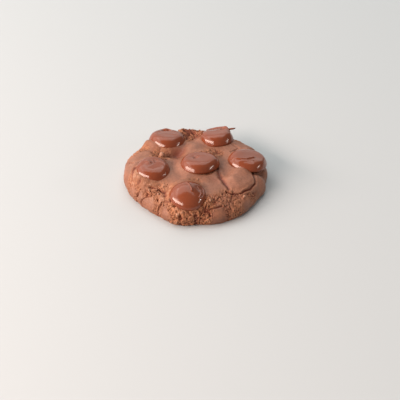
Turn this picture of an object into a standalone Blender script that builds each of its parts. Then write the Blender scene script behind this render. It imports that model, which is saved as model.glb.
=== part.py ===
"""A soft chocolate cookie: a thick round of baked dough with six melted chocolate buttons on top.

The dough is one solid with a flat base, a bulging side and a craggy top. Each button is a solid
of its own and sits in a pocket of the dough. The origin is under the middle of the base, +Z is up
and -Y is the front. Sizes are in millimetres and are turned into metres when a mesh is made.
"""
import math

import bmesh
import bpy
import numpy as np

MM = 0.001
GAP = 0.3

# Dough: angle in degrees and radius of the outline, seen from above
OUTLINE = (
    (3, 44.8), (27, 43.3), (40, 42.9), (57, 44.2), (75, 44.4), (89, 45.0), (103, 43.2),
    (131, 44.0), (144, 43.0), (161, 45.0), (178, 44.2), (198, 42.7), (222, 42.0), (237, 42.6),
    (256, 46.2), (269, 44.5), (285, 45.7), (303, 44.9), (326, 42.9), (345, 43.3),
)
TOP_HEIGHT = 14.0
WAIST_HEIGHT = 4.0
SHOULDER_POWER = 3.4
FOOT_INSET = 1.8
FOOT_FADE = 2.0
DOUGH_CELLS = 64

# Gentle swells and hollows of the dough: x, y, height and radius
SWELLS = (
    (-7.5, 38.0, 5.0, 4.5),
    (2.0, 38.5, 2.6, 4.5),
    (27.0, 27.0, 2.0, 6.0),
    (35.0, 20.0, 2.2, 4.5),
    (-31.0, 27.0, 1.8, 6.0),
    (-15.5, 12.2, -2.2, 3.2),
    (-10.5, 12.6, -2.6, 3.2),
    (-6.0, 22.5, -1.3, 2.8),
    (-5.5, 22.5, 0.7, 4.0),
    (-22.0, 14.5, -1.8, 3.5),
    (-1.0, 18.0, 1.0, 5.0),
    (17.5, 3.0, -1.4, 4.0),
    (18.5, -8.0, -1.5, 3.5),
    (-36.0, -14.0, 0.9, 3.5),
    (-30.0, -17.0, 0.9, 3.5),
    (28.0, -9.0, 0.9, 3.0),
    (-34.0, 12.0, 1.2, 8.0),
    (-37.0, -2.0, 1.2, 5.0),
    (38.4, -11.0, 2.2, 3.6),
    (40.0, -4.0, -2.4, 3.2),
    (35.0, -6.5, -1.2, 2.5),
    (-5.0, -17.0, 0.8, 5.0),
    (-12.0, -24.0, 0.8, 4.0),
    (-4.5, -41.5, 1.3, 4.5),
    (10.0, -34.0, 1.2, 6.0),
    (30.0, -32.0, 0.8, 6.0),
)
# A blister of dough as wide as a button: x, y, half width, half depth and height
BLISTER = (27.5, -15.0, 10.5, 12.0, 1.6)
BLISTER_EDGE = 0.48

# Cracks: depth, half width and the points that each one runs through
CRACKS = (
    (2.0, 1.7, ((13.5, -5.0), (14.3, -8.0), (15.1, -14.0), (18.8, -22.0), (20.0, -25.0))),
    (2.4, 1.8, ((18.0, -27.0), (21.6, -28.3), (26.4, -26.5), (31.0, -23.0), (35.6, -16.0))),
    (1.8, 1.6, ((33.8, -4.4), (34.6, -10.7), (35.4, -15.7))),
    (1.9, 1.6, ((2.5, -42.5), (7.8, -41.3), (12.5, -39.4), (15.5, -38.0))),
    (1.8, 1.5, ((-37.6, -5.7), (-38.2, -9.0), (-39.0, -12.5))),
    (2.0, 1.6, ((-27.0, -21.5), (-21.1, -23.7), (-19.3, -26.4), (-17.4, -30.5))),
    (1.5, 1.5, ((-22.0, -36.7), (-19.1, -33.2), (-16.0, -35.0))),
    (1.4, 1.5, ((-42.0, 8.5), (-38.0, 3.5))),
    (1.6, 1.6, ((4.0, 12.5), (9.0, 10.6), (13.0, 7.2))),
)
# Pits where crumbs have come away: x, y, depth and radius
PITS = (
    (0.2, -43.6, 1.8, 1.3), (-9.0, -44.3, 1.8, 1.4), (-14.4, -35.0, 1.4, 1.2),
    (-11.8, -38.4, 1.5, 1.3), (-35.0, -22.2, 1.3, 1.2), (-28.9, -25.4, 1.3, 1.2),
    (-0.9, 34.8, 1.8, 1.3), (-6.8, 36.6, 1.6, 1.3), (-18.0, 6.0, 1.4, 1.4),
)
# Crumbly ground: x, y and radius of each patch
CRUMBLY = (
    (-22.0, -30.0, 12.0), (-8.0, -42.0, 10.0), (8.0, -38.0, 10.0), (22.0, -34.0, 10.0),
    (-37.0, -15.0, 10.0), (-2.0, 38.0, 9.0), (-21.0, 13.0, 6.0), (11.0, 12.0, 6.0),
    (36.0, -27.0, 9.0), (0.0, -20.0, 5.0), (-40.0, 20.0, 8.0), (-28.0, 37.0, 8.0),
    (-33.0, 21.0, 6.0), (30.0, 33.0, 8.0), (43.0, 16.0, 7.0), (2.5, 32.5, 5.0),
)
CLOD_SIZE = 4.5
CLOD_HEIGHT = 1.5
CLOD_SEED = 11
CLOD_REPEAT = 32

# Buttons: place on the dough, half width, dome height, how square the dome's edge is (a power), and
# lean to the front and to the right
BUTTONS = {
    "button_centre": dict(x=2.6, y=-1.6, half=12.1, dome=4.8, edge=7.0, front=-9.0, right=0.0),
    "button_front": dict(x=-4.3, y=-31.9, half=11.2, dome=3.5, edge=5.0, front=10.0, right=6.0),
    "button_left": dict(x=-25.9, y=-6.2, half=11.2, dome=4.7, edge=5.5, front=2.0, right=3.0),
    "button_right": dict(x=32.2, y=3.7, half=12.5, dome=4.6, edge=7.0, front=-8.0, right=8.0),
    "button_back_left": dict(x=-18.1, y=29.2, half=11.9, dome=4.8, edge=7.0, front=-12.0, right=1.0),
    "button_back_right": dict(x=13.6, y=29.6, half=11.0, dome=5.4, edge=7.0, front=-11.0, right=-5.0),
}
# The tip, swell or dimple that each button's piping left: x, y, height and radius
TIPS = {
    "button_centre": (-2.5, 2.0, -0.7, 2.2),
    "button_front": (0.0, 0.0, 2.8, 5.5),
    "button_left": (-2.2, 1.8, 0.8, 2.0),
    "button_right": (-4.0, -5.0, 0.5, 2.6),
    "button_back_left": (-0.7, 6.6, -0.9, 2.4),
    "button_back_right": (6.0, 6.5, 0.9, 2.6),
}
LIP_HEIGHT = 0.6
LIP_UNDER = 2.4
BUTTON_ROUND = 30
BUTTON_RINGS = 7
UNEVEN = 0.03

# Finish: linear colour and roughness
DOUGH_COLOUR = (0.23, 0.11, 0.07, 1.0)
DOUGH_ROUGHNESS = 0.8
CHOCOLATE_COLOUR = (0.15, 0.045, 0.025, 1.0)
CHOCOLATE_ROUGHNESS = 0.3


def clear_scene():
    """Remove whatever the scene holds."""
    for item in list(bpy.data.objects):
        bpy.data.objects.remove(item, do_unlink=True)


def make_material(name, colour, roughness):
    """A plain Principled material."""
    material = bpy.data.materials.new(name)
    material.use_nodes = True
    shader = material.node_tree.nodes["Principled BSDF"]
    shader.inputs["Base Color"].default_value = colour
    shader.inputs["Roughness"].default_value = roughness
    shader.inputs["Metallic"].default_value = 0.0
    return material


def soft_step(low, high, value):
    """0 below low, 1 above high, and a smooth S between them."""
    share = np.clip((value - low) / (high - low), 0.0, 1.0)
    return share * share * (3.0 - 2.0 * share)


def outline_radius(angle):
    """Radius at an angle: a cubic through the outline's points, with slopes from their neighbours."""
    knots, radii = np.array(OUTLINE, dtype=float).T
    knots = np.concatenate([knots[-2:] - 360.0, knots, knots[:2] + 360.0])
    radii = np.concatenate([radii[-2:], radii, radii[:2]])
    slopes = np.gradient(radii, knots)
    turn = (np.degrees(angle) - OUTLINE[0][0]) % 360.0 + OUTLINE[0][0]
    left = np.clip(np.searchsorted(knots, turn, side="right") - 1, 0, len(knots) - 2)
    span = knots[left + 1] - knots[left]
    t = (turn - knots[left]) / span
    start = radii[left] * (1 + 2 * t) * (1 - t) ** 2 + slopes[left] * span * t * (1 - t) ** 2
    end = radii[left + 1] * t * t * (3 - 2 * t) + slopes[left + 1] * span * t * t * (t - 1)
    return start + end


def dough_profile(share):
    """Distance from the middle (1 at the waist) and height, along the dough from its top to its foot.

    The top is a superellipse, the side below the waist a quarter ellipse that runs in to the foot.
    The share is measured along the curve's length, so that equal steps of it are equally long.
    """
    typical = OUTLINE[0][1]
    sweep = np.linspace(0.0, 1.0, 400)
    top_out = 1.0 - (1.0 - sweep) ** 2
    top_up = WAIST_HEIGHT + (TOP_HEIGHT - WAIST_HEIGHT) * np.sqrt(1.0 - top_out ** SHOULDER_POWER)
    turn = np.linspace(0.0, math.pi / 2, 60)[1:]
    side_out = 1.0 - FOOT_INSET / typical * (1.0 - np.cos(turn))
    side_up = WAIST_HEIGHT * (1.0 - np.sin(turn))
    out = np.concatenate([top_out, side_out])
    up = np.concatenate([top_up, side_up])
    length = np.concatenate([[0.0], np.cumsum(np.hypot(np.diff(out) * typical, np.diff(up)))])
    along = share * length[-1]
    return np.interp(along, length, out), np.interp(along, length, up)


def path_distance(x, y, points):
    """Distance in plan from each place to a path of straight runs."""
    nearest = np.full(x.shape, 1e9)
    for (ax, ay), (bx, by) in zip(points[:-1], points[1:]):
        run = (bx - ax, by - ay)
        share = ((x - ax) * run[0] + (y - ay) * run[1]) / (run[0] ** 2 + run[1] ** 2)
        share = np.clip(share, 0.0, 1.0)
        nearest = np.minimum(nearest, np.hypot(x - ax - share * run[0], y - ay - share * run[1]))
    return nearest


def clods(places):
    """Height of rounded clods: one seeded point in each cube of a grid, and the nearest one's cap."""
    draw = np.random.default_rng(CLOD_SEED).random((CLOD_REPEAT,) * 3 + (3,))
    cell = np.floor(places / CLOD_SIZE).astype(int)
    nearest = np.full(len(places), 1e9)
    steps = (-1, 0, 1)
    for step in [(i, j, k) for i in steps for j in steps for k in steps]:
        cube = cell + np.array(step)
        inside = draw[tuple((cube % CLOD_REPEAT).T)]
        nearest = np.minimum(nearest, np.linalg.norm((cube + inside) * CLOD_SIZE - places, axis=1))
    return 1.0 - (nearest / CLOD_SIZE) ** 2 * 2.0


def dough_relief(places):
    """How far the dough stands out from its plain form: swells, blister, cracks, pits and clods."""
    x, y, z = places.T
    relief = np.zeros(len(places))
    for cx, cy, height, radius in SWELLS:
        relief += height * np.exp(-((x - cx) ** 2 + (y - cy) ** 2) / (2 * radius ** 2))
    cx, cy, half_x, half_y, height = BLISTER
    spread = np.hypot((x - cx) / half_x, (y - cy) / half_y)
    relief += height * (1.0 - soft_step(BLISTER_EDGE, 1.0, spread))
    ground = np.zeros(len(places))
    for cx, cy, radius in CRUMBLY:
        ground = np.maximum(ground, 1.0 - soft_step(0.6, 1.3, np.hypot(x - cx, y - cy) / radius))
    relief += ground * CLOD_HEIGHT * (clods(places) - 0.5)
    for cx, cy, depth, radius in PITS:
        relief -= depth * np.exp(-((x - cx) ** 2 + (y - cy) ** 2) / (2 * radius ** 2))
    for depth, half, points in CRACKS:
        relief -= depth * np.exp(-(path_distance(x, y, points) / half) ** 2)
    return relief * soft_step(0.0, FOOT_FADE, z)


def dough_surface(angle, share):
    """Places on the dough for an angle and a share of the way from the top's middle to the foot."""
    step = 0.002
    radius = outline_radius(angle)
    out, up = dough_profile(share)
    out_next, up_next = dough_profile(np.minimum(share + step, 1.0))
    out_back, up_back = dough_profile(np.maximum(share - step, 0.0))
    run, fall = (out_next - out_back) * radius, up_next - up_back
    size = np.hypot(run, fall)
    lean_out, lean_up = -fall / size, run / size
    plain = np.stack([out * radius * np.cos(angle), out * radius * np.sin(angle), up], axis=1)
    relief = dough_relief(plain)
    plain[:, 0] += relief * lean_out * np.cos(angle)
    plain[:, 1] += relief * lean_out * np.sin(angle)
    plain[:, 2] += relief * lean_up
    return plain


def dough_height(x, y):
    """Height of the plain dough, without relief, over one place in plan."""
    out = min(math.hypot(x, y) / float(outline_radius(np.array(math.atan2(y, x)))), 1.0)
    return WAIST_HEIGHT + (TOP_HEIGHT - WAIST_HEIGHT) * math.sqrt(1.0 - out ** SHOULDER_POWER)


def square_on_disc(cells):
    """A square grid drawn onto a disc: each point's angle and share of the way to the edge."""
    line = np.linspace(-1.0, 1.0, cells + 1)
    a, b = np.meshgrid(line, line, indexing="ij")
    wide = np.abs(a) >= np.abs(b)
    long_side = np.where(wide, a, b)
    short_side = np.where(wide, b, a)
    ratio = short_side / np.where(long_side == 0.0, 1.0, long_side)
    angle = np.where(wide, math.pi / 4 * ratio, math.pi / 2 - math.pi / 4 * ratio)
    angle = angle + np.where(long_side < 0.0, math.pi, 0.0)
    return angle.ravel(), np.abs(long_side).ravel()


def new_object(name, mesh, material):
    """An object with its material, shaded smooth up to a sharp angle."""
    mesh.materials.append(material)
    item = bpy.data.objects.new(name, mesh)
    bpy.context.scene.collection.objects.link(item)
    mesh.shade_smooth()
    mesh.set_sharp_from_angle(angle=math.radians(60))
    return item


def make_dough(material):
    """The dough: the square grid laid over top and side, closed by a flat base."""
    angle, share = square_on_disc(DOUGH_CELLS)
    places = dough_surface(angle, share)
    row = DOUGH_CELLS + 1
    mesh = bpy.data.meshes.new("dough")
    work = bmesh.new()
    points = [work.verts.new(place) for place in (places * MM).tolist()]
    for i in range(DOUGH_CELLS):
        for j in range(DOUGH_CELLS):
            corner = i * row + j
            work.faces.new([points[corner + k] for k in (0, row, row + 1, 1)])
    edge = [i * row for i in range(row)]
    edge += [DOUGH_CELLS * row + j for j in range(1, row)]
    edge += [i * row + DOUGH_CELLS for i in range(DOUGH_CELLS - 1, -1, -1)]
    edge += [j for j in range(DOUGH_CELLS - 1, 0, -1)]
    work.faces.new([points[k] for k in reversed(edge)])
    bmesh.ops.recalc_face_normals(work, faces=work.faces)
    work.to_mesh(mesh)
    work.free()
    return new_object("dough", mesh, material)


def button_mesh(name, grow):
    """A melted drop: a flat-topped dome over a rounded lip that curls under.

    The dome falls as a high power of the distance from the drop's middle.
    """
    half = BUTTONS[name]["half"] + grow
    dome = BUTTONS[name]["dome"] + grow
    under = LIP_UNDER + grow
    tip_x, tip_y, tip_height, tip_radius = TIPS[name]
    over = 1.0 - (1.0 - np.arange(1, BUTTON_RINGS + 1) / BUTTON_RINGS) ** 1.6
    below = np.array([0.93, 0.78])
    out = np.concatenate([over, below])
    up = np.concatenate([
        LIP_HEIGHT + dome * (1.0 - over ** BUTTONS[name]["edge"]),
        LIP_HEIGHT - (under + LIP_HEIGHT) * np.array([0.55, 1.0]),
    ])
    angle = np.linspace(0.0, 2 * math.pi, BUTTON_ROUND, endpoint=False)
    turn, ring = np.meshgrid(angle, out)
    phase = len(name)
    wobble = 1.0 + UNEVEN * (np.sin(2 * turn + phase) + 0.6 * np.sin(3 * turn + 2 * phase))
    x = half * ring * wobble * np.cos(turn)
    y = half * ring * wobble * np.sin(turn)
    z = np.repeat(up[:, None], BUTTON_ROUND, axis=1)
    tip = tip_height * np.exp(-((x - tip_x) ** 2 + (y - tip_y) ** 2) / (2 * tip_radius ** 2))
    z = z + np.where(z > LIP_HEIGHT, tip, 0.0)
    top_tip = tip_height * math.exp(-(tip_x ** 2 + tip_y ** 2) / (2 * tip_radius ** 2))
    mesh = bpy.data.meshes.new(name)
    work = bmesh.new()
    grid = np.stack([x, y, z], axis=2) * MM
    rings = [[work.verts.new(place) for place in line] for line in grid.tolist()]
    top = work.verts.new((0.0, 0.0, (LIP_HEIGHT + dome + top_tip) * MM))
    bottom = work.verts.new((0.0, 0.0, -under * MM))
    for k in range(BUTTON_ROUND):
        following = (k + 1) % BUTTON_ROUND
        work.faces.new([top, rings[0][k], rings[0][following]])
        work.faces.new([bottom, rings[-1][following], rings[-1][k]])
        for upper, lower in zip(rings[:-1], rings[1:]):
            work.faces.new([upper[k], lower[k], lower[following], upper[following]])
    bmesh.ops.recalc_face_normals(work, faces=work.faces)
    work.to_mesh(mesh)
    work.free()
    return mesh


def place_button(item, name):
    """Set a button, or the cutter of its pocket, on the dough with its lean."""
    button = BUTTONS[name]
    item.location = (button["x"] * MM, button["y"] * MM, dough_height(button["x"], button["y"]) * MM)
    item.rotation_euler = (math.radians(button["front"]), math.radians(button["right"]), 0.0)


def make_button(name, material):
    """One melted chocolate button."""
    item = new_object(name, button_mesh(name, 0.0), material)
    place_button(item, name)
    return item


def cut_pocket(dough, name, material):
    """Cut the pocket that a button has sunk into, a gap wider than the button all round."""
    cutter = new_object(name + "_pocket", button_mesh(name, GAP), material)
    place_button(cutter, name)
    cutter.hide_render = True
    cutter.display_type = "WIRE"
    cut = dough.modifiers.new(name + "_pocket", "BOOLEAN")
    cut.operation = "DIFFERENCE"
    cut.solver = "EXACT"
    cut.object = cutter


def build():
    """Make the dough and the buttons."""
    clear_scene()
    dough_finish = make_material("baked chocolate dough", DOUGH_COLOUR, DOUGH_ROUGHNESS)
    button_finish = make_material("milk chocolate", CHOCOLATE_COLOUR, CHOCOLATE_ROUGHNESS)
    dough = make_dough(dough_finish)
    for name in BUTTONS:
        make_button(name, button_finish)
        cut_pocket(dough, name, dough_finish)


build()
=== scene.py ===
import math

import bpy
import numpy as np
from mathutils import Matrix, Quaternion, Vector


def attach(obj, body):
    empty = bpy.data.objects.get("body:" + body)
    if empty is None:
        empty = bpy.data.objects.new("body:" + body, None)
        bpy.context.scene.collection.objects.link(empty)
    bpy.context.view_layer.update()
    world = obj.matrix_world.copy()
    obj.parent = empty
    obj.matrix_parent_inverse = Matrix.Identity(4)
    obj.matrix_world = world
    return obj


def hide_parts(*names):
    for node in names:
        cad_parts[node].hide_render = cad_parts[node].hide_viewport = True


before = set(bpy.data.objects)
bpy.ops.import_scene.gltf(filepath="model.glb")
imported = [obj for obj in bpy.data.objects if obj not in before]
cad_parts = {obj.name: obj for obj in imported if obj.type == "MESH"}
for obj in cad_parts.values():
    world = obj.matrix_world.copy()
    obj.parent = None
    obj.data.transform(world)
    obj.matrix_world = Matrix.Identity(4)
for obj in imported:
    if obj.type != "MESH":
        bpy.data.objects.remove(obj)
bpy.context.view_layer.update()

# The baked dough. Cocoa dough scooped as a ball and baked on a flat tray: it slumped to a thick
# round with a flat base, stayed smooth where butter and chocolate melted over its top, and cracked
# and crumbled on its shoulder and rim. Sizes are in millimetres from the middle of the base.
MM = 0.001
# Outline at the waist: angle from the right, anticlockwise in degrees, and radius
OUTLINE = (
    (3, 44.8), (27, 43.3), (40, 42.9), (57, 44.2), (75, 44.4), (89, 45.0), (103, 43.2),
    (131, 44.0), (144, 43.0), (161, 45.0), (178, 44.2), (198, 42.7), (222, 42.0), (237, 42.6),
    (256, 46.2), (269, 44.5), (285, 45.7), (303, 44.9), (326, 42.9), (345, 43.3),
)
TOP_HEIGHT = 14.0
WAIST_HEIGHT = 4.0
SHOULDER_POWER = 3.4
# How far the side runs in to the foot, over what height the relief fades out there, and how ragged
# the foot's line is
FOOT_INSET = 1.8
FOOT_FADE = 2.0
RAGGED_FOOT = 0.5
# Cells along each side of the grid, the power that draws them to the rim, rings over the base, and
# the height of the tray's marks there
DOUGH_CELLS = 292
CLOSER_OUT = 0.75
BASE_RINGS = 8
TRAY_MARK = 0.25
# Gentle swells and hollows: x, y, height and radius
SWELLS = (
    (-7.5, 38.0, 5.0, 4.5),
    (2.0, 38.5, 2.6, 4.5),
    (27.0, 27.0, 2.0, 6.0),
    (35.0, 20.0, 2.2, 4.5),
    (-31.0, 27.0, 1.8, 6.0),
    (-15.5, 12.2, -2.2, 3.2),
    (-10.5, 12.6, -2.6, 3.2),
    (-6.0, 22.5, -1.3, 2.8),
    (-5.5, 22.5, 0.7, 4.0),
    (-22.0, 14.5, -1.8, 3.5),
    (-1.0, 18.0, 1.0, 5.0),
    (17.5, 3.0, -1.4, 4.0),
    (18.5, -8.0, -1.5, 3.5),
    (-36.0, -14.0, 0.9, 3.5),
    (-30.0, -17.0, 0.9, 3.5),
    (28.0, -9.0, 0.9, 3.0),
    (-34.0, 12.0, 1.2, 8.0),
    (-37.0, -2.0, 1.2, 5.0),
    (38.4, -11.0, 2.2, 3.6),
    (40.0, -4.0, -2.4, 3.2),
    (35.0, -6.5, -1.2, 2.5),
    (-5.0, -17.0, 0.8, 5.0),
    (-12.0, -24.0, 0.8, 4.0),
    (-4.5, -41.5, 1.3, 4.5),
    (10.0, -34.0, 1.2, 6.0),
    (30.0, -32.0, 0.8, 6.0),
)
# A blister of dough as wide as a button: x, y, half width, half depth and height, and the share of
# the way out at which its top starts to fall
BLISTER = (27.5, -15.0, 10.5, 12.0, 1.6)
BLISTER_EDGE = 0.48
# Cracks: depth, half width and the points that each one runs through
CRACKS = (
    (0.9, 1.00, ((13.5, -5.0), (14.3, -8.0), (15.1, -14.0), (18.8, -22.0), (20.0, -25.0))),
    (1.3, 0.45, ((18.0, -27.0), (21.6, -28.3), (26.4, -26.5), (31.0, -23.0), (35.6, -16.0))),
    (1.2, 0.60, ((33.8, -4.4), (34.6, -10.7), (35.4, -15.7))),
    (0.9, 0.38, ((2.5, -42.5), (7.8, -41.3), (12.5, -39.4), (15.5, -38.0))),
    (1.9, 0.60, ((-35.2, -6.0), (-35.9, -8.5), (-35.7, -10.0), (-37.4, -13.0))),
    (1.1, 0.65, ((-27.0, -21.5), (-21.1, -23.7), (-19.3, -26.4), (-17.4, -30.5))),
    (0.8, 0.40, ((-33.0, -26.7), (-27.0, -27.2), (-21.1, -23.5))),
    (0.8, 0.45, ((-22.0, -36.7), (-19.1, -33.2), (-16.0, -35.0))),
    (0.7, 0.45, ((-42.0, 8.5), (-38.0, 3.5))),
    (1.0, 0.45, ((4.0, 12.5), (9.0, 10.6), (13.0, 7.2))),
    (0.4, 0.50, ((20.5, 24.5), (26.9, 18.4), (22.3, 13.7))),
)
# How far a crack strays from its points, and the height of its lips
CRACK_WANDER = 0.5
CRACK_LIP = 0.15
# Pits where crumbs have come away, and broad shallow hollows: x, y, depth and radius. Their depth also
# paints shade into the crust's colour, and the broad shallow ones are there to darken a place with it
PITS = (
    (0.2, -43.6, 1.7, 0.7), (-9.0, -44.3, 1.6, 0.7), (-14.4, -35.0, 1.3, 0.6),
    (-11.8, -38.4, 1.4, 0.6), (-35.0, -22.2, 1.2, 0.6), (-28.9, -25.4, 1.2, 0.6),
    (-0.9, 34.8, 1.6, 0.7), (-6.8, 36.6, 1.4, 0.7), (-18.0, 6.0, 1.3, 0.7),
    (14.0, -42.5, 0.35, 4.0), (-13.4, 14.2, 0.8, 2.6), (-8.4, 15.6, 1.0, 2.8),
    (-7.2, 21.8, 0.5, 2.3), (-5.0, 35.5, 0.8, 3.0), (1.5, 36.5, 0.8, 3.0),
    (-4.0, 31.5, 0.4, 3.0), (-21.4, 13.4, 0.9, 1.4), (-24.4, 11.0, 0.8, 1.2),
    (-18.8, 10.6, 0.8, 1.2),
)
# Crumbly ground: x, y, radius and roughness of each patch
CRUMBLY = (
    (-22.0, -28.0, 12.0, 0.7), (-8.0, -42.0, 10.0, 1.0), (6.0, -40.0, 8.0, 1.0),
    (20.0, -34.0, 10.0, 0.55), (-37.0, -15.0, 10.0, 0.6), (-2.0, 38.0, 9.0, 1.0),
    (-21.5, 12.5, 7.0, 0.75), (11.0, 12.0, 6.0, 0.7), (36.0, -27.0, 9.0, 0.4),
    (-4.0, 31.5, 5.5, 0.9), (2.5, 32.5, 5.0, 0.9), (0.0, -20.0, 5.0, 0.5),
    (-40.0, 20.0, 8.0, 0.6), (-28.0, 37.0, 8.0, 0.7), (-33.0, 21.0, 6.0, 0.7),
    (30.0, 33.0, 8.0, 0.6), (43.0, 16.0, 7.0, 0.6),
)
# Places that baked smooth among the crumbs: x, y and radius
BAKED_SMOOTH = ((-31.0, -32.0, 7.0), (-40.0, -20.0, 5.0), (-19.0, -42.5, 4.5), (14.0, -44.0, 6.0),
                (31.0, -32.0, 4.5))
# Unevenness all over, and crags of the broken crumb: size and height, from coarse to fine
UNEVENNESS = ((7.0, 0.35), (3.0, 0.14), (1.2, 0.05))
CRAGS = ((3.4, 0.6), (1.6, 0.4), (0.8, 0.35))
# Clods and crumbs, how far the crumbs' borders bend, the fissures and holes among them, and the pin
# holes that steam left all over
CLOD_SIZE = 4.5
CLOD_HEIGHT = 0.7
CRUMB_SIZE = 1.25
CRUMB_HEIGHT = 0.8
CRUMB_BEND = 0.6
FISSURE_SIZE = 3.4
FISSURE_DEPTH = 0.8
HOLE_SIZE = 1.7
HOLE_DEPTH = 0.9
PIN_HOLE_SPACING = 6.0
PIN_HOLE_DEPTH = 0.4
# Noise: how many random numbers its table has along each side, the turn of its grid, the steps from
# a cube to the cubes round it, and the corners of a cube. Each noise has a seed of its own.
NOISE_TABLE = 32
GRID_TURN = np.array([[2.0, -1.0, 2.0], [2.0, 2.0, -1.0], [-1.0, 2.0, 2.0]]) / 3.0
CUBE_STEPS = [(i, j, k) for i in (-1, 0, 1) for j in (-1, 0, 1) for k in (-1, 0, 1)]
CUBE_CORNERS = [(i, j, k) for i in (0, 1) for j in (0, 1) for k in (0, 1)]
# Buttons: place on the dough, half width, dome height, how square the dome's edge is (a power), lean
# to the front and to the right, and how high the dough has run up against one side, and which way
BUTTONS = {
    "button_centre": dict(x=2.6, y=-1.6, half=12.1, dome=4.8, edge=7.0, front=-9.0, right=0.0,
                          rise=1.6, way=205.0),
    "button_front": dict(x=-4.3, y=-31.9, half=11.2, dome=3.5, edge=5.0, front=10.0, right=6.0,
                         rise=2.6, way=125.0),
    "button_left": dict(x=-25.9, y=-6.2, half=11.2, dome=4.7, edge=5.5, front=2.0, right=3.0,
                        rise=4.0, way=200.0),
    "button_right": dict(x=32.2, y=3.7, half=12.5, dome=4.6, edge=7.0, front=-8.0, right=8.0,
                         rise=1.2, way=245.0),
    "button_back_left": dict(x=-18.1, y=29.2, half=11.9, dome=4.8, edge=7.0, front=-12.0, right=1.0,
                             rise=2.8, way=225.0),
    "button_back_right": dict(x=13.6, y=29.6, half=11.0, dome=5.4, edge=7.0, front=-11.0, right=-5.0,
                              rise=1.2, way=150.0),
}
# The dough against a button, in shares of the button's half width: where the ramp of run-up dough
# ends and starts, how wide the ridge round the button is, and where the bed under it is whole and
# where it ends. Then the ridge's height and the bed's depth.
RAMP = (0.88, 1.42)
RIDGE_WIDTH = 0.1
BED = (0.62, 0.76)
RIDGE_HEIGHT = 0.3
BED_DEPTH = 0.6


def soft_step(low, high, value):
    """0 below low, 1 above high, and a smooth S between them."""
    share = np.clip((value - low) / (high - low), 0.0, 1.0)
    return share * share * (3.0 - 2.0 * share)


def outline_radius(angle):
    """Radius at an angle: a cubic through the outline's points, with slopes from their neighbours."""
    knots, radii = np.array(OUTLINE, dtype=float).T
    knots = np.concatenate([knots[-2:] - 360.0, knots, knots[:2] + 360.0])
    radii = np.concatenate([radii[-2:], radii, radii[:2]])
    slopes = np.gradient(radii, knots)
    turn = (np.degrees(angle) - OUTLINE[0][0]) % 360.0 + OUTLINE[0][0]
    left = np.clip(np.searchsorted(knots, turn, side="right") - 1, 0, len(knots) - 2)
    span = knots[left + 1] - knots[left]
    t = (turn - knots[left]) / span
    start = radii[left] * (1 + 2 * t) * (1 - t) ** 2 + slopes[left] * span * t * (1 - t) ** 2
    end = radii[left + 1] * t * t * (3 - 2 * t) + slopes[left + 1] * span * t * t * (t - 1)
    return start + end


def dough_profile(share):
    """Distance from the middle (1 at the waist) and height, from the top's middle to the foot.

    The top is a superellipse, the side below the waist a quarter ellipse that runs in to the foot.
    The share is measured along the curve's length, so that equal steps of it are equally long.
    """
    typical = OUTLINE[0][1]
    sweep = np.linspace(0.0, 1.0, 400)
    top_out = 1.0 - (1.0 - sweep) ** 2
    top_up = WAIST_HEIGHT + (TOP_HEIGHT - WAIST_HEIGHT) * np.sqrt(1.0 - top_out ** SHOULDER_POWER)
    turn = np.linspace(0.0, math.pi / 2, 60)[1:]
    side_out = 1.0 - FOOT_INSET / typical * (1.0 - np.cos(turn))
    side_up = WAIST_HEIGHT * (1.0 - np.sin(turn))
    out = np.concatenate([top_out, side_out])
    up = np.concatenate([top_up, side_up])
    length = np.concatenate([[0.0], np.cumsum(np.hypot(np.diff(out) * typical, np.diff(up)))])
    along = share * length[-1]
    return np.interp(along, length, out), np.interp(along, length, up)


def path_distance(x, y, points):
    """Distance in plan from each place to a path of straight runs."""
    nearest = np.full(x.shape, 1e9)
    for (ax, ay), (bx, by) in zip(points[:-1], points[1:]):
        run = (bx - ax, by - ay)
        share = ((x - ax) * run[0] + (y - ay) * run[1]) / (run[0] ** 2 + run[1] ** 2)
        share = np.clip(share, 0.0, 1.0)
        nearest = np.minimum(nearest, np.hypot(x - ax - share * run[0], y - ay - share * run[1]))
    return nearest


def cells(places, size, seed):
    """Distances to the nearest and second nearest of points scattered one to a cube, and its number.

    Both distances are shares of the cube's side. The number is a random one of the nearest point.
    """
    draw = np.random.default_rng(seed).random((NOISE_TABLE,) * 3 + (3,))
    numbers = np.random.default_rng(seed + 1).random((NOISE_TABLE,) * 3)
    scaled = places / size
    cell = np.floor(scaled).astype(int)
    nearest = np.full(len(places), 9.0)
    second = np.full(len(places), 9.0)
    number = np.zeros(len(places))
    for step in CUBE_STEPS:
        cube = cell + np.array(step)
        index = tuple((cube % NOISE_TABLE).T)
        away = np.linalg.norm(cube + draw[index] - scaled, axis=1)
        number = np.where(away < nearest, numbers[index], number)
        second = np.minimum(second, np.maximum(away, nearest))
        nearest = np.minimum(nearest, away)
    return nearest, second, number


def drift(places, size, seed):
    """Smooth noise from -1 to 1: random heights at the corners of a grid, blended over each cube.

    The grid is turned out of line with the cookie's own axes, so that no streaks run along them.
    """
    heights = np.random.default_rng(seed).random((NOISE_TABLE,) * 3) * 2.0 - 1.0
    scaled = places @ GRID_TURN / size
    cell = np.floor(scaled).astype(int)
    share = scaled - cell
    share = share * share * (3.0 - 2.0 * share)
    total = np.zeros(len(places))
    for corner in CUBE_CORNERS:
        weight = np.where(corner, share, 1.0 - share).prod(axis=1)
        total += weight * heights[tuple(((cell + np.array(corner)) % NOISE_TABLE).T)]
    return total


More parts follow.
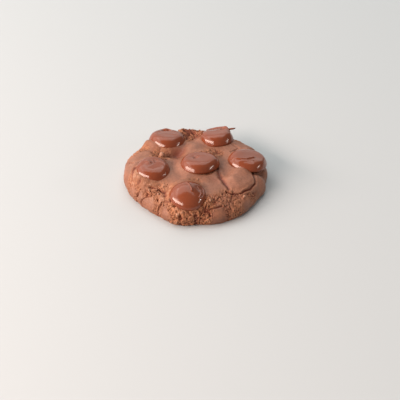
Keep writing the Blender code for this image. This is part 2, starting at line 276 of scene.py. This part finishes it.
def crumbly_ground(places):
    """How crumbly the dough is, 0 to 1: the patches, with edges that wander.

    A patch is full within half its radius and fades out a third beyond it. A smooth place takes
    nearly all of it away.
    """
    x, y = places[:, 0], places[:, 1]
    ground = np.zeros(len(places))
    for cx, cy, radius, rough in CRUMBLY:
        patch = 1.0 - soft_step(0.5, 1.35, np.hypot(x - cx, y - cy) / radius)
        ground = np.maximum(ground, rough * patch)
    for cx, cy, radius in BAKED_SMOOTH:
        ground *= 0.15 + 0.85 * soft_step(0.5, 1.2, np.hypot(x - cx, y - cy) / radius)
    wander = 0.22 * drift(places, 5.0, 21) + 0.15 * drift(places, 2.0, 22)
    return np.clip(ground + wander * soft_step(0.0, 0.2, ground), 0.0, 1.0)


def under_button(places):
    """1 under a button and 0 clear of it, and how far the dough has run up against its side.

    The dough rises as a ramp towards the button's edge, all round a little and most of all on the
    side where dough and chocolate ran into each other.
    """
    nearest = np.full(len(places), 9.0)
    rise = np.zeros(len(places))
    for button in BUTTONS.values():
        deep = button["half"] * math.cos(math.radians(button["front"]))
        wide = button["half"] * math.cos(math.radians(button["right"]))
        run_x, run_y = (places[:, 0] - button["x"]) / wide, (places[:, 1] - button["y"]) / deep
        away = np.hypot(run_x, run_y)
        heading = np.arctan2(run_y, run_x) - math.radians(button["way"])
        ramp = np.clip(np.cos(heading), 0.0, 1.0) * (1.0 - soft_step(*RAMP, away))
        ridge = RIDGE_HEIGHT * np.exp(-((away - 1.0) / RIDGE_WIDTH) ** 2)
        rise = np.maximum(rise, button["rise"] * ramp + ridge)
        nearest = np.minimum(nearest, away)
    return 1.0 - soft_step(*BED, nearest), rise


def crumb_relief(places, ground):
    """Height of the fine relief: unevenness all over, and more of the rest on crumbly ground.

    Clods and crumbs are domes about scattered points, crags are the folds of smooth noise, fissures
    run where two of the points are equally near, and holes are dents about some of the points.
    """
    detail = np.zeros(len(places))
    for k, (size, height) in enumerate(UNEVENNESS):
        detail += height * drift(places, size, 32 + k)
    near, _, _ = cells(places, CLOD_SIZE, 11)
    detail += ground * CLOD_HEIGHT * (0.5 - 2.0 * near ** 2)
    warp = np.stack([drift(places, 1.7, seed) for seed in (35, 36, 37)], axis=1)
    bent = places + CRUMB_BEND * warp
    near, _, number = cells(bent, CRUMB_SIZE, 41)
    detail += ground * CRUMB_HEIGHT * (0.3 + 0.7 * number) * (0.5 - 2.0 * near ** 2)
    for k, (size, height) in enumerate(CRAGS):
        detail += soft_step(0.05, 0.8, ground) * height * (np.abs(drift(places, size, 53 + k)) - 0.24)
    near, second, number = cells(bent, FISSURE_SIZE, 45)
    open_crack = soft_step(0.35, 0.75, number) * soft_step(0.15, 0.6, ground)
    detail -= FISSURE_DEPTH * (1.0 - soft_step(0.02, 0.22, second - near)) * open_crack
    near, _, number = cells(bent, HOLE_SIZE, 47)
    holed = number < 0.55 * soft_step(0.2, 0.9, ground)
    detail -= HOLE_DEPTH * (1.0 - soft_step(0.10, 0.42, near)) * holed
    near, _, number = cells(places, PIN_HOLE_SPACING, 49)
    detail -= PIN_HOLE_DEPTH * (1.0 - soft_step(0.03, 0.10, near)) * (number > 0.7)
    return detail


def dough_relief(places):
    """How far the dough stands out from its plain form, its fine relief alone, and its crumbliness.

    Swells and pits are bell curves. A crack is one across its path, with a low lip on each side.
    The fine relief is weaker where the dough has run up against a button.
    """
    x, y, z = places.T
    relief = np.zeros(len(places))
    for cx, cy, height, radius in SWELLS:
        relief += height * np.exp(-((x - cx) ** 2 + (y - cy) ** 2) / (2 * radius ** 2))
    cx, cy, half_x, half_y, height = BLISTER
    spread = np.hypot((x - cx) / half_x, (y - cy) / half_y) + 0.04 * drift(places, 4.0, 31)
    relief += height * (1.0 - soft_step(BLISTER_EDGE, 1.0, spread))
    ground = crumbly_ground(places)
    detail = crumb_relief(places, ground)
    for cx, cy, depth, radius in PITS:
        detail -= depth * np.exp(-((x - cx) ** 2 + (y - cy) ** 2) / (2 * radius ** 2))
    wander_x = x + CRACK_WANDER * drift(places, 2.4, 51)
    wander_y = y + CRACK_WANDER * drift(places, 2.4, 52)
    for depth, half, points in CRACKS:
        away = path_distance(wander_x, wander_y, points) / half
        detail += CRACK_LIP * np.exp(-(away - 2.2) ** 2) - depth * np.exp(-away ** 2)
    covered, rise = under_button(places)
    relief += (detail / (1.0 + rise) + rise) * (1.0 - covered) - BED_DEPTH * covered
    return relief * soft_step(0.0, FOOT_FADE, z), detail, ground


def dough_surface(angle, share):
    """Places on the dough for an angle and a share of the way from the top's middle to the foot.

    Each place of the plain form moves along its own outward direction by the relief there. A short
    step each way along the profile gives that direction. The foot strays in and out on top of it.
    """
    step = 0.002
    radius = outline_radius(angle)
    out, up = dough_profile(share)
    out_next, up_next = dough_profile(np.minimum(share + step, 1.0))
    out_back, up_back = dough_profile(np.maximum(share - step, 0.0))
    run, fall = (out_next - out_back) * radius, up_next - up_back
    size = np.hypot(run, fall)
    lean_out, lean_up = -fall / size, run / size
    plain = np.stack([out * radius * np.cos(angle), out * radius * np.sin(angle), up], axis=1)
    relief, detail, ground = dough_relief(plain)
    low_down = (1.0 - soft_step(0.0, 3.0, up)) * soft_step(0.8, 1.0, out)
    ragged = RAGGED_FOOT * drift(plain, 3.0, 61) * low_down
    places = plain.copy()
    places[:, 0] += (relief * lean_out + ragged) * np.cos(angle)
    places[:, 1] += (relief * lean_out + ragged) * np.sin(angle)
    places[:, 2] += relief * lean_up
    return places, detail, ground


def square_on_circle(count):
    """A square grid drawn onto a circle: each point's angle and share of the way to the edge.

    The share is raised to a power under one, which sets the points closer together near the rim.
    """
    line = np.linspace(-1.0, 1.0, count + 1)
    a, b = np.meshgrid(line, line, indexing="ij")
    wide = np.abs(a) >= np.abs(b)
    long_side = np.where(wide, a, b)
    short_side = np.where(wide, b, a)
    ratio = short_side / np.where(long_side == 0.0, 1.0, long_side)
    angle = np.where(wide, math.pi / 4 * ratio, math.pi / 2 - math.pi / 4 * ratio)
    angle = angle + np.where(long_side < 0.0, math.pi, 0.0)
    return angle.ravel(), np.abs(long_side).ravel() ** CLOSER_OUT


def make_piece(name, places, faces, material, **attributes):
    """A smooth-shaded object at the origin from places in millimetres, faces and point values."""
    mesh = bpy.data.meshes.new(name)
    mesh.from_pydata((places * MM).tolist(), [], faces)
    for title, values in attributes.items():
        layer = mesh.attributes.new(title, "FLOAT", "POINT")
        layer.data.foreach_set("value", values.astype(np.float32))
    mesh.shade_smooth()
    mesh.materials.append(material)
    piece = bpy.data.objects.new(name, mesh)
    bpy.context.scene.collection.objects.link(piece)
    return piece


def linear(hex_colour):
    """An sRGB hex colour as linear red, green, blue and alpha."""
    parts = [int(hex_colour[k:k + 2], 16) / 255 for k in (1, 3, 5)]
    return tuple(p / 12.92 if p <= 0.04045 else ((p + 0.055) / 1.055) ** 2.4 for p in parts) + (1.0,)


def add_node(material, kind, settings=None, **links):
    """Add one shader node: settings are its properties or, by name, its sockets' values.

    A link goes to the socket of its name, or of its number after an i where sockets share a name.
    """
    node = material.node_tree.nodes.new(kind)
    for key, value in (settings or {}).items():
        if key in node.inputs:
            node.inputs[key].default_value = value
        else:
            setattr(node, key, value)
    for key, source in links.items():
        target = node.inputs[int(key[1:])] if key[0] == "i" and key[1:].isdigit() else node.inputs[key]
        material.node_tree.links.new(source, target)
    return node


def new_material(name):
    """An empty material with its Principled shader wired to the output."""
    material = bpy.data.materials.new(name)
    material.use_nodes = True
    return material, material.node_tree.nodes["Principled BSDF"]


# Baked cocoa crust: matt, open-pored flour and sugar crumb with a thin film of cooled butter where it
# is smooth. The film gives the top a soft pinkish veil, the crumb is drier, rougher and more tan.
CRUST_SMOOTH = "#8f5f49"
CRUST_CRUMB = "#a36a48"
# Painted light: a shade colour painted into cracks and holes, and a highlight colour painted onto
# raised crumbs
CRUST_PAINTED_SHADE = "#601603"
CRUST_PAINTED_HIGHLIGHT = "#c29a84"
# Sizes of its patterns: patches of butter and flour, grains of sugar, and pores with their depth
PATCH_SIZE = 6.0
GRAIN_SIZE = 1.1
PORE_SIZE = 0.6
PORE_DEPTH = 0.35
crust, shader = new_material("baked cocoa crust")
spot = add_node(crust, "ShaderNodeTexCoord").outputs["Object"]
ground_at = add_node(crust, "ShaderNodeAttribute", {"attribute_name": "ground"}).outputs["Fac"]
# The fine relief's height, which paints the highlight and the shade below
relief_for_painted_light = add_node(crust, "ShaderNodeAttribute", {"attribute_name": "depth"}).outputs["Fac"]
mottle = add_node(crust, "ShaderNodeTexNoise", {"Scale": 1 / (PATCH_SIZE * MM), "Detail": 4.0},
                  Vector=spot)
speckle = add_node(crust, "ShaderNodeTexNoise", {"Scale": 1 / (GRAIN_SIZE * MM), "Detail": 3.0},
                   Vector=spot)
# A colour Mix node takes its share at socket 0 and its colours at 6 and 7, and gives socket 2
skin = add_node(crust, "ShaderNodeMix", {"data_type": "RGBA"}, i0=ground_at)
skin.inputs[6].default_value = linear(CRUST_SMOOTH)
skin.inputs[7].default_value = linear(CRUST_CRUMB)
tone = add_node(crust, "ShaderNodeMapRange",
                {"From Min": 0.3, "From Max": 0.7, "To Min": 0.82, "To Max": 1.18},
                Value=mottle.outputs["Fac"])
grain = add_node(crust, "ShaderNodeMapRange",
                 {"From Min": 0.3, "From Max": 0.7, "To Min": 0.88, "To Max": 1.12},
                 Value=speckle.outputs["Fac"])
both = add_node(crust, "ShaderNodeMath", {"operation": "MULTIPLY"},
                i0=tone.outputs[0], i1=grain.outputs[0])
toned = add_node(crust, "ShaderNodeVectorMath", {"operation": "SCALE"},
                 i0=skin.outputs[2], Scale=both.outputs[0])
# Raised crumbs get a painted highlight, paler, and the bottoms of cracks and holes get painted shade,
# darker
highlight_share = add_node(crust, "ShaderNodeMapRange",
                  {"From Min": 0.2, "From Max": 0.7, "To Min": 0.0, "To Max": 0.45},
                  Value=relief_for_painted_light)
lit = add_node(crust, "ShaderNodeMix", {"data_type": "RGBA"}, i0=highlight_share.outputs[0], i6=toned.outputs[0])
lit.inputs[7].default_value = linear(CRUST_PAINTED_HIGHLIGHT)
shade_share = add_node(crust, "ShaderNodeMapRange",
                {"From Min": -1.2, "From Max": -0.1, "To Min": 0.75, "To Max": 0.0},
                Value=relief_for_painted_light)
final = add_node(crust, "ShaderNodeMix", {"data_type": "RGBA"}, i0=shade_share.outputs[0], i6=lit.outputs[2])
final.inputs[7].default_value = linear(CRUST_PAINTED_SHADE)
crust.node_tree.links.new(final.outputs[2], shader.inputs["Base Color"])
dry = add_node(crust, "ShaderNodeMapRange", {"To Min": 0.5, "To Max": 0.75}, Value=ground_at)
crust.node_tree.links.new(dry.outputs[0], shader.inputs["Roughness"])
shader.inputs["IOR"].default_value = 1.45
pores = add_node(crust, "ShaderNodeTexNoise",
                 {"Scale": 1 / (PORE_SIZE * MM), "Detail": 5.0, "Roughness": 0.65}, Vector=spot)
open_pores = add_node(crust, "ShaderNodeMapRange", {"To Min": 0.5, "To Max": 1.0}, Value=ground_at)
bump = add_node(crust, "ShaderNodeBump", {"Distance": PORE_DEPTH * MM},
                Height=pores.outputs["Fac"], Strength=open_pores.outputs[0])
crust.node_tree.links.new(bump.outputs[0], shader.inputs["Normal"])

# The top and side: a quad for each cell of the grid, and the points along the grid's edge
angle, share = square_on_circle(DOUGH_CELLS)
dough_places, dough_detail, dough_ground = dough_surface(angle, share)
row = DOUGH_CELLS + 1
corner = (np.arange(DOUGH_CELLS)[:, None] * row + np.arange(DOUGH_CELLS)).ravel()
faces = np.stack([corner, corner + row, corner + row + 1, corner + 1], axis=1).tolist()
edge = np.concatenate([
    np.arange(row) * row,
    DOUGH_CELLS * row + np.arange(1, row),
    np.arange(DOUGH_CELLS - 1, -1, -1) * row + DOUGH_CELLS,
    np.arange(DOUGH_CELLS - 1, 0, -1),
])
# The base: rings that shrink from the foot's edge to the middle, with shallow tray marks
shrink = np.linspace(1.0, 0.0, BASE_RINGS + 1)[1:-1]
foot = dough_places[edge]
rings = np.concatenate([foot * np.array([s, s, 0.0]) for s in shrink])
rings[:, 2] = np.clip(TRAY_MARK * drift(rings, 5.0, 71), 0.0, 1.0)
places = np.concatenate([dough_places, rings, [[0.0, 0.0, 0.0]]])
around = len(edge)
loops = [edge] + [row * row + k * around + np.arange(around) for k in range(len(shrink))]
for outer, inner in zip(loops[:-1], loops[1:]):
    faces += np.stack([outer, inner, np.roll(inner, -1), np.roll(outer, -1)], axis=1).tolist()
middle = np.full(around, len(places) - 1)
faces += np.stack([loops[-1], middle, np.roll(loops[-1], -1)], axis=1).tolist()
extra = np.zeros(len(rings) + 1)
# The fine relief goes to the crust as depth: it paints a highlight on raised crumbs and shade into
# cracks and holes
dough = make_piece("baked_dough", places, faces, crust,
                   ground=np.concatenate([dough_ground, extra + 0.5]),
                   depth=np.concatenate([dough_detail, extra]))
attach(dough, "root")
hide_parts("dough")

# Crumbs. Bits of the same dough that came loose where the crust broke and stuck to it again, and
# one flake that stands out behind the buttons. Their colour is the crust's own, with its painted
# highlight on the bits and its painted shade on the flake.
CRUMB_COUNT = 420
CRUMB_RADIUS = (0.16, 0.42)
CRUMB_ROUND = 6
# How crumbly the ground under a loose crumb is at least, and how high it lies above the tray
LOOSE_GROUND = 0.35
LOOSE_HEIGHT = 2.0
# Each bit's stretch along the axes and the raggedness of its edge, both shares of its radius
STRETCH = (0.6, 1.4)
RAGGED_EDGE = 0.28
RAGGED_SIZE = 0.6
# Larger bits: x, y and radius
NODULES = ((-20.9, 10.6, 2.0), (-27.4, -23.0, 1.0), (-22.0, -27.5, 1.1), (8.5, -36.5, 0.9),
           (-4.5, -41.5, 1.0), (29.0, -28.8, 0.9))
# Over this radius a bit is rounder and smoother; it sits with its middle this share of its radius
# above the dough
LARGE_BIT = 0.8
LARGE_STRETCH = 0.3
PERCH_SHARE = 0.75
# The flake's place, its half length, half depth and half height, and its slope up to the right
FLAKE = (23.2, 35.2, 16.9)
FLAKE_STRETCH = (2.6, 1.0, 0.5)
FLAKE_SLOPE = 0.12
# What the crust's colour reads on them: a value that paints the bits paler as a painted highlight and
# the flake darker as painted shade, and how crumbly they are
BIT_PAINTED_HIGHLIGHT = 0.6
FLAKE_PAINTED_SHADE = -0.8
BIT_GROUND = 0.7
LARGE_BIT_GROUND = 0.3


def bit_shape():
    """A lump of one radius: places and faces of a pole, three rings of points and a pole.

    The middle ring is turned by half a radian against the others.
    """
    level = np.radians([50.0, 5.0, -45.0])
    around_it = np.arange(CRUMB_ROUND) * 2 * math.pi / CRUMB_ROUND
    rise, turn = np.meshgrid(level, around_it, indexing="ij")
    turn = turn + np.array([[0.0], [0.5], [0.0]])
    ring = np.stack([np.cos(rise) * np.cos(turn), np.cos(rise) * np.sin(turn), np.sin(rise)], axis=2)
    places = np.concatenate([[[0.0, 0.0, 1.0]], ring.reshape(-1, 3), [[0.0, 0.0, -1.0]]])
    here = np.arange(CRUMB_ROUND)
    following = (here + 1) % CRUMB_ROUND
    rows = [np.stack([np.zeros_like(here), 1 + here, 1 + following], axis=1)]
    for k in (0, 1):
        upper, lower = 1 + k * CRUMB_ROUND, 1 + (k + 1) * CRUMB_ROUND
        rows.append(np.stack([upper + here, lower + here, lower + following], axis=1))
        rows.append(np.stack([upper + here, lower + following, upper + following], axis=1))
    last = 1 + 2 * CRUMB_ROUND
    pole = np.full_like(here, last + CRUMB_ROUND)
    rows.append(np.stack([pole, last + following, last + here], axis=1))
    return places, np.concatenate(rows)


chance = np.random.default_rng(91)
bare = under_button(dough_places)[0] < 0.1
loose = (dough_ground > LOOSE_GROUND) & (dough_places[:, 2] > LOOSE_HEIGHT) & bare
perch = dough_places[chance.choice(np.flatnonzero(loose), CRUMB_COUNT, replace=False)]
radius = chance.uniform(*CRUMB_RADIUS, CRUMB_COUNT)
for x, y, size in NODULES:
    nearest = np.argmin(np.hypot(dough_places[:, 0] - x, dough_places[:, 1] - y))
    above = np.array([0.0, 0.0, PERCH_SHARE * size])
    perch = np.concatenate([perch, dough_places[nearest:nearest + 1] + above])
    radius = np.append(radius, size)
lump, lump_faces = bit_shape()
large = radius > LARGE_BIT
stretch = chance.uniform(*STRETCH, (len(perch), 1, 3))
stretch[large] = 1.0 - LARGE_STRETCH + LARGE_STRETCH * stretch[large]
ragged = chance.uniform(-RAGGED_EDGE, RAGGED_EDGE, (len(perch), len(lump), 1))
rough_edge = 1.0 + ragged * np.minimum(RAGGED_SIZE / radius, 1.0)[:, None, None]
bits = perch[:, None, :] + lump * stretch * rough_edge * radius[:, None, None]
flake = lump * rough_edge[0] * np.array(FLAKE_STRETCH)
flake[:, 2] += FLAKE_SLOPE * flake[:, 0]
bits = np.concatenate([bits, [flake + np.array(FLAKE)]]).reshape(-1, 3)
first = np.arange(len(perch) + 1)[:, None, None] * len(lump)
bit_faces = (first + lump_faces).reshape(-1, 3).tolist()
# The bits' painted highlight and the flake's painted shade, passed to the crust as its depth
bit_painted_light = np.full(len(bits), BIT_PAINTED_HIGHLIGHT)
bit_painted_light[-len(lump):] = FLAKE_PAINTED_SHADE
each_ground = np.append(np.where(large, LARGE_BIT_GROUND, BIT_GROUND), BIT_GROUND)
bit_ground = np.repeat(each_ground, len(lump))
crumbs = make_piece("crumbs", bits, bit_faces, crust, ground=bit_ground, depth=bit_painted_light)
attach(crumbs, "root")

# The melted buttons. Milk chocolate buttons pressed into the warm dough: each melted to a soft,
# rounded drop with a curled-under edge and set again with a shine, keeping the dimple or the twist
# of its piping. They have stuck to the dough they sank into.

# The widest place stands this high over the plain dough, and the underside reaches this far below
LIP_HEIGHT = 0.6
LIP_UNDER = 2.4
# Share of the radius by which the rim strays, and the skin's waves: size and height
UNEVEN = 0.03
SKIN_WAVES = ((5.0, 0.10), (1.8, 0.015))
# Points round a drop, rings over and under it, and the power that draws the rings to the edge
BUTTON_ROUND = 144
BUTTON_RINGS = 60
UNDER_RINGS = 16
CLOSER_TO_EDGE = 1.9
# Round marks of the piping and the melting, in each button's plan: x, y, height and radius
ROUND_MARKS = {
    "button_centre": ((-2.4, 0.0, -1.0, 0.9), (-3.5, 1.5, -0.25, 2.4)),
    "button_front": ((0.0, 0.0, 2.8, 5.5), (-4.5, 3.5, 0.5, 3.5), (6.6, 3.0, -1.1, 2.7)),
    "button_left": ((-2.6, 1.2, 1.1, 1.4), (-1.2, 2.2, -0.3, 2.6)),
    "button_right": ((-5.0, 3.0, 0.4, 3.0), (8.0, -2.0, -0.4, 3.0)),
    "button_back_left": ((-2.2, 6.6, -1.9, 1.1), (0.6, 6.8, -1.9, 1.1), (-0.7, 9.6, 0.9, 2.0)),
    "button_back_right": ((4.5, 4.6, -0.9, 1.3), (7.4, 6.2, 1.7, 1.9), (-2.6, 7.2, -1.0, 3.4)),
}
# Thin folds of the chocolate, in each button's plan: height, half width and the points of its crest
FOLDS = {
    "button_centre": ((0.10, 0.5, ((-6.0, 2.2), (-2.0, 3.0), (3.0, 2.6))),),
    "button_front": ((0.4, 0.5, ((-1.6, 7.0), (-1.0, 5.0), (0.2, 3.2), (1.2, 1.2), (1.6, -1.4))),
                     (0.5, 0.45, ((8.6, 4.6), (9.4, 1.6), (9.0, -1.4), (7.9, -4.2))),
                     (0.4, 0.45, ((5.4, 3.8), (7.0, 1.6), (7.4, -1.2), (6.4, -4.4)))),
    "button_left": ((0.3, 0.6, ((-4.0, 2.6), (-2.6, 4.8), (-0.6, 4.2), (0.4, 1.6))),
                    (0.25, 0.6, ((3.0, 4.0), (6.0, 2.6), (7.6, 0.5)))),
    "button_right": ((0.7, 0.6, ((-9.8, -4.6), (-6.0, -6.4), (-1.8, -6.0), (2.8, -2.6))),
                     (0.3, 0.5, ((-6.5, -8.4), (-2.0, -8.4), (2.0, -7.0)))),
    "button_back_left": ((0.12, 0.5, ((5.0, -1.5), (-1.0, -0.8), (-7.0, -1.8))),),
    "button_back_right": ((0.7, 0.7, ((8.8, 2.8), (6.6, 6.2), (2.0, 7.8), (-2.5, 8.0), (-6.0, 6.6))),
                          (0.35, 0.35, ((-9.4, -4.0), (-9.6, 3.0))),
                          (0.35, 0.35, ((-8.0, -4.8), (-8.2, 4.0)))),
}


def dough_height(x, y):
    """Height of the plain dough, without relief, over one place in plan."""
    out = min(math.hypot(x, y) / float(outline_radius(np.array(math.atan2(y, x)))), 1.0)
    return WAIST_HEIGHT + (TOP_HEIGHT - WAIST_HEIGHT) * math.sqrt(1.0 - out ** SHOULDER_POWER)


def button_surface(name):
    """Places on a melted drop: a flat-topped dome over a squarish quarter ellipse that curls under.

    The dome falls as a high power of the distance from its middle. Rings run from the top's middle
    to the bottom's, made uneven by two waves, whose phase is the length of the drop's name. The
    marks, folds and skin's waves stand on the upper side. The drop is then leant to the front and
    to the right, and set on the dough.
    """
    button = BUTTONS[name]
    over = 1.0 - (1.0 - np.arange(1, BUTTON_RINGS + 1) / BUTTON_RINGS) ** CLOSER_TO_EDGE
    turn = np.linspace(0.0, math.pi / 2, UNDER_RINGS + 1)[1:-1]
    out = np.concatenate([over, np.cos(turn) ** 0.5])
    up = np.concatenate([
        LIP_HEIGHT + button["dome"] * (1.0 - over ** button["edge"]),
        LIP_HEIGHT - (LIP_UNDER + LIP_HEIGHT) * np.sin(turn),
    ])
    angle = np.linspace(0.0, 2 * math.pi, BUTTON_ROUND, endpoint=False)
    turn, ring = np.meshgrid(angle, out)
    phase = len(name)
    wobble = 1.0 + UNEVEN * (np.sin(2 * turn + phase) + 0.6 * np.sin(3 * turn + 2 * phase))
    x = (button["half"] * ring * wobble * np.cos(turn)).ravel()
    y = (button["half"] * ring * wobble * np.sin(turn)).ravel()
    z = np.repeat(up, BUTTON_ROUND)
    x = np.concatenate([[0.0], x, [0.0]])
    y = np.concatenate([[0.0], y, [0.0]])
    z = np.concatenate([[LIP_HEIGHT + button["dome"]], z, [-LIP_UNDER]])
    marks = np.zeros(len(z))
    for mark_x, mark_y, height, radius in ROUND_MARKS[name]:
        marks += height * np.exp(-((x - mark_x) ** 2 + (y - mark_y) ** 2) / (2 * radius ** 2))
    for height, half, points in FOLDS[name]:
        marks += height * np.exp(-(path_distance(x, y, points) / half) ** 2)
    local = np.stack([x, y, z], axis=1)
    shifted = local + 7.0 * phase
    marks += sum(height * drift(shifted, size, 81 + k) for k, (size, height) in enumerate(SKIN_WAVES))
    local[:, 2] += marks * soft_step(LIP_HEIGHT, LIP_HEIGHT + 1.0, z)
    front, right = math.radians(button["front"]), math.radians(button["right"])
    lean_front = np.array([[1, 0, 0], [0, math.cos(front), -math.sin(front)],
                           [0, math.sin(front), math.cos(front)]])
    lean_right = np.array([[math.cos(right), 0, math.sin(right)], [0, 1, 0],
                           [-math.sin(right), 0, math.cos(right)]])
    base = np.array([button["x"], button["y"], dough_height(button["x"], button["y"])])
    return local @ lean_front.T @ lean_right.T + base


def drop_faces(ring_count):
    """Faces of a drop: a fan at each pole and quads between the rings."""
    ring = np.arange(BUTTON_ROUND)
    following = (ring + 1) % BUTTON_ROUND
    last = 1 + (ring_count - 1) * BUTTON_ROUND
    pole = ring_count * BUTTON_ROUND + 1
    faces = np.stack([np.zeros_like(ring), 1 + ring, 1 + following], axis=1).tolist()
    for k in range(ring_count - 1):
        upper, lower = 1 + k * BUTTON_ROUND, 1 + (k + 1) * BUTTON_ROUND
        quads = np.stack([upper + ring, lower + ring, lower + following, upper + following], axis=1)
        faces += quads.tolist()
    faces += np.stack([np.full_like(ring, pole), last + following, last + ring], axis=1).tolist()
    return faces


# Milk chocolate, melted and set again: cocoa butter gives it a smooth, tight gloss, and where it
# cooled slowly a faint greyish bloom dulls it in soft clouds.
CHOCOLATE = "#7e3f26"
CHOCOLATE_BLOOM = "#85462e"
# Sizes of its patterns: clouds of bloom, and ripples of the skin with their depth
BLOOM_SIZE = 9.0
RIPPLE_SIZE = 2.5
RIPPLE_DEPTH = 0.3
chocolate, shader = new_material("set milk chocolate")
spot = add_node(chocolate, "ShaderNodeTexCoord").outputs["Object"]
cloud = add_node(chocolate, "ShaderNodeTexNoise", {"Scale": 1 / (BLOOM_SIZE * MM), "Detail": 3.0},
                 Vector=spot)
bloom = add_node(chocolate, "ShaderNodeMix", {"data_type": "RGBA"}, i0=cloud.outputs["Fac"])
bloom.inputs[6].default_value = linear(CHOCOLATE)
bloom.inputs[7].default_value = linear(CHOCOLATE_BLOOM)
chocolate.node_tree.links.new(bloom.outputs[2], shader.inputs["Base Color"])
dull = add_node(chocolate, "ShaderNodeMapRange",
                {"From Min": 0.35, "From Max": 0.65, "To Min": 0.12, "To Max": 0.2},
                Value=cloud.outputs["Fac"])
chocolate.node_tree.links.new(dull.outputs[0], shader.inputs["Roughness"])
shader.inputs["IOR"].default_value = 1.5
ripple = add_node(chocolate, "ShaderNodeTexNoise", {"Scale": 1 / (RIPPLE_SIZE * MM), "Detail": 2.0},
                  Vector=spot)
bump = add_node(chocolate, "ShaderNodeBump", {"Strength": 0.08, "Distance": RIPPLE_DEPTH * MM},
                Height=ripple.outputs["Fac"])
chocolate.node_tree.links.new(bump.outputs[0], shader.inputs["Normal"])

ring_count = BUTTON_RINGS + UNDER_RINGS - 1
for name in BUTTONS:
    drop = make_piece("melted_" + name, button_surface(name), drop_faces(ring_count), chocolate)
    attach(drop, "root")
    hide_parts(name)

# The floor: a plain pale sheet, matt so that it shows soft shadows and no reflections, and wide
# enough for every view.
FLOOR_HALF = 3000.0
floor_finish, shader = new_material("pale floor")
shader.inputs["Base Color"].default_value = linear("#c0c8cc")
shader.inputs["Roughness"].default_value = 0.9
corners = np.array([[-1.0, -1.0, 0.0], [1.0, -1.0, 0.0], [1.0, 1.0, 0.0], [-1.0, 1.0, 0.0]])
floor = make_piece("floor", FLOOR_HALF * corners, [[0, 1, 2, 3]], floor_finish)


# Light: a bright ceiling and back wall, a wide panel to the left, a narrow strip to the front left
# and a weak one far right, in a dim room.
def soft_light(name, place, aim, wide, tall, power, colour, roll=0.0):
    """A rectangular lamp at a place, turned to its aim, both in metres; the camera doesn't see it.

    The roll turns it in its own plane, in degrees, and raises its end nearer the camera.
    """
    lamp = bpy.data.lights.new(name, "AREA")
    lamp.shape = "RECTANGLE"
    lamp.size = wide
    lamp.size_y = tall
    lamp.energy = power
    lamp.color = linear(colour)[:3]
    item = bpy.data.objects.new(name, lamp)
    item.location = place
    facing = (Vector(aim) - Vector(place)).to_track_quat("-Z", "Y")
    item.rotation_euler = (facing @ Quaternion((0.0, 0.0, 1.0), math.radians(roll))).to_euler()
    item.visible_camera = False
    bpy.context.scene.collection.objects.link(item)


soft_light("back wall", (-0.3, 1.5, 0.9), (-0.3, 0, 0.9), 2.4, 1.6, 9.2, "#fffbf6")
soft_light("ceiling", (-0.3, 0.9, 1.5), (-0.3, 0.9, 0), 2.4, 1.6, 21.5, "#fffbf6")
soft_light("left panel", (-1.3, 0.2, 0.75), (0, 0, 0.0), 1.8, 1.2, 11.5, "#fff8f0")
soft_light("left strip", (-0.77, -0.38, 0.46), (0, 0, 0.01), 1.25, 0.24, 15.0, "#ffe4d6", roll=14.0)
soft_light("right glint", (0.80, -0.10, 0.28), (0, 0, 0.01), 0.35, 0.035, 0.9, "#fff0e6")
room = bpy.data.worlds.new("pale room")
room.use_nodes = True
room.node_tree.nodes["Background"].inputs["Color"].default_value = linear("#f4f4f2")
room.node_tree.nodes["Background"].inputs["Strength"].default_value = 0.16
bpy.context.scene.world = room
bpy.context.scene.view_settings.view_transform = "Standard"

# Camera: a long lens 590 mm from the cookie's middle and 35 degrees above the table, aimed at the
# front half of the cookie. Places are in metres.
CAMERA_PLACE = (0.0003, -0.4792, 0.3418)
CAMERA_AIM = (0.0027, -0.0188, 0.0)
lens = bpy.data.cameras.new("camera")
lens.lens = 85.0
lens.sensor_width = 36.0
lens.clip_start = 0.01
camera = bpy.data.objects.new("camera", lens)
camera.location = CAMERA_PLACE
camera.rotation_euler = (Vector(CAMERA_AIM) - Vector(CAMERA_PLACE)).to_track_quat("-Z", "Y").to_euler()
bpy.context.scene.collection.objects.link(camera)
bpy.context.scene.camera = camera
